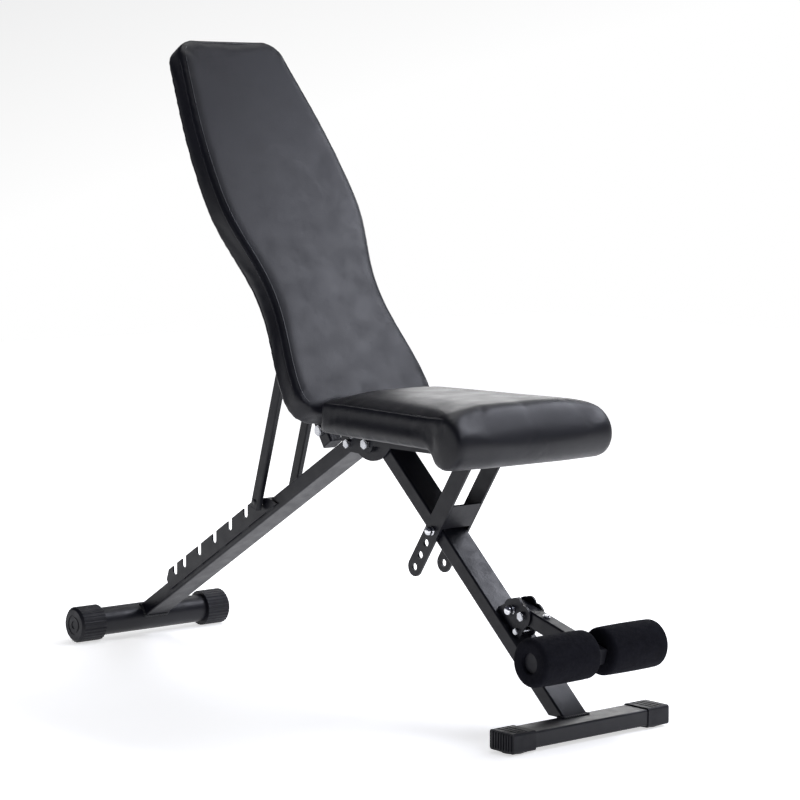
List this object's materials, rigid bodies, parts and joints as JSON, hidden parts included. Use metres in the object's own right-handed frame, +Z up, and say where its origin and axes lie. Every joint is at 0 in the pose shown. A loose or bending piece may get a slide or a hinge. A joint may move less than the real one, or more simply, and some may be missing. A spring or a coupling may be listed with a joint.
{
  "type": "adjustable weight bench",
  "caption": "Adjustable folding weight bench: hourglass back pad on a ladder-supported frame, tilting seat, foam leg rollers.",
  "frame": {"origin": "on the floor under the middle of the bench", "axes": "+Z up, -Y towards the foot rollers, X across the bench"},
  "size_m": [0.326, 1.226, 1.069],
  "materials": {
    "frame_paint": "satin powder coat",
    "black_plastic": "moulded, matte",
    "zinc": "bright zinc plate",
    "pin_chrome": "polished",
    "vinyl": "black vinyl, fine grain",
    "roller_foam": "matte closed-cell foam",
    "board": "plywood behind black backing cloth"
  },
  "bodies": {
    "front_frame": {"front_leg": "frame_paint", "hinge_plates": "frame_paint", "front_base": "frame_paint", "front_base_caps": "black_plastic", "front_feet": "black_plastic", "holder_bracket": "frame_paint", "bracket_bolt": "zinc", "seat_pin_bush": "zinc", "main_hinge_bolt": "zinc", "main_hinge_nut": "zinc", "leg_hinge_bolt": "zinc", "leg_hinge_nut": "zinc", "stop_bolt": "zinc", "stop_sleeve": "zinc", "back_hinge_bolt": "zinc", "back_hinge_nut": "zinc", "back_hinge_spacers": "frame_paint", "holder_pivot_bolt": "zinc", "holder_pivot_nut": "zinc", "seat_hinge_washers": "zinc"},
    "rear_frame": {"rear_leg": "frame_paint", "rear_leg_bush": "zinc", "ladder_plates": "frame_paint", "rear_base": "frame_paint", "rear_base_caps": "black_plastic"},
    "backrest": {"back_rails": "frame_paint", "back_rail_plugs": "black_plastic", "back_straps": "frame_paint", "back_board": "board", "back_pad": "vinyl", "back_pad_bolts": "zinc", "back_tee_nuts": "zinc", "support_hinge_bolt": "zinc", "support_hinge_nut": "zinc"},
    "support_frame": {"support_legs": "frame_paint", "support_sleeve": "frame_paint", "support_pin": "frame_paint", "support_leg_plugs": "black_plastic"},
    "seat": {"seat_channel": "frame_paint", "seat_board": "board", "seat_pad": "vinyl", "seat_pad_bolts": "zinc", "seat_tee_nuts": "zinc", "adjuster_bolt": "zinc", "adjuster_nut": "zinc"},
    "seat_adjuster": {"adjuster_bars": "frame_paint", "adjuster_web": "frame_paint", "adjuster_spacer": "frame_paint"},
    "seat_pin": {"seat_lock_pin": "pin_chrome"},
    "leg_holder": {"holder_tube": "frame_paint", "holder_plugs": "black_plastic", "roller_axle": "frame_paint", "axle_plugs": "black_plastic", "holder_screw": "zinc"},
    "leg_holder_pin": {"holder_pin": "pin_chrome"},
    "left_roller": {"left_roller_core": "black_plastic", "left_roller_foam": "roller_foam"},
    "right_roller": {"right_roller_core": "black_plastic", "right_roller_foam": "roller_foam"}
  },
  "joints": [
    {"name": "rear_leg_fold", "type": "hinge", "parent": "front_frame", "child": "rear_frame", "pos_m": [0, -0.034, 0.402], "axis": [-1, 0, 0], "range_deg": [0, 105]},
    {"name": "recline", "type": "hinge", "parent": "front_frame", "child": "backrest", "pos_m": [0, -0.022, 0.426], "axis": [-1, 0, 0], "range_deg": [0, 84.5]},
    {"name": "support_swing", "type": "hinge", "parent": "backrest", "child": "support_frame", "pos_m": [0, 0.09772, 0.61105], "axis": [1, 0, 0], "range_deg": [0, 123]},
    {"name": "seat_tilt", "type": "hinge", "parent": "front_frame", "child": "seat", "pos_m": [0, -0.091, 0.407], "axis": [-1, 0, 0], "range_deg": [0, 22.15]},
    {"name": "adjuster_swing", "type": "hinge", "parent": "seat", "child": "seat_adjuster", "pos_m": [0, -0.334, 0.411], "axis": [1, 0, 0], "range_deg": [0, 5.2]},
    {"name": "seat_pin_pull", "type": "slide", "parent": "front_frame", "child": "seat_pin", "axis": [-1, 0, 0], "range_m": [0, 0.08]},
    {"name": "leg_holder_fold", "type": "hinge", "parent": "front_frame", "child": "leg_holder", "pos_m": [0, -0.44, 0.171], "axis": [1, 0, 0], "range_deg": [0, 24]},
    {"name": "leg_holder_pin_pull", "type": "slide", "parent": "front_frame", "child": "leg_holder_pin", "axis": [-1, 0, 0], "range_m": [0, 0.04]},
    {"name": "left_roller_spin", "type": "hinge", "parent": "leg_holder", "child": "left_roller", "pos_m": [0.07, -0.576, 0.133], "axis": [1, 0, 0], "continuous": true},
    {"name": "right_roller_spin", "type": "hinge", "parent": "leg_holder", "child": "right_roller", "pos_m": [-0.07, -0.576, 0.133], "axis": [1, 0, 0], "continuous": true}
  ],
  "couplings": [
    {"joint": "support_swing", "follows": "recline", "ratio": 1.4515},
    {"joint": "adjuster_swing", "follows": "seat_tilt", "ratio": 0.2319}
  ]
}
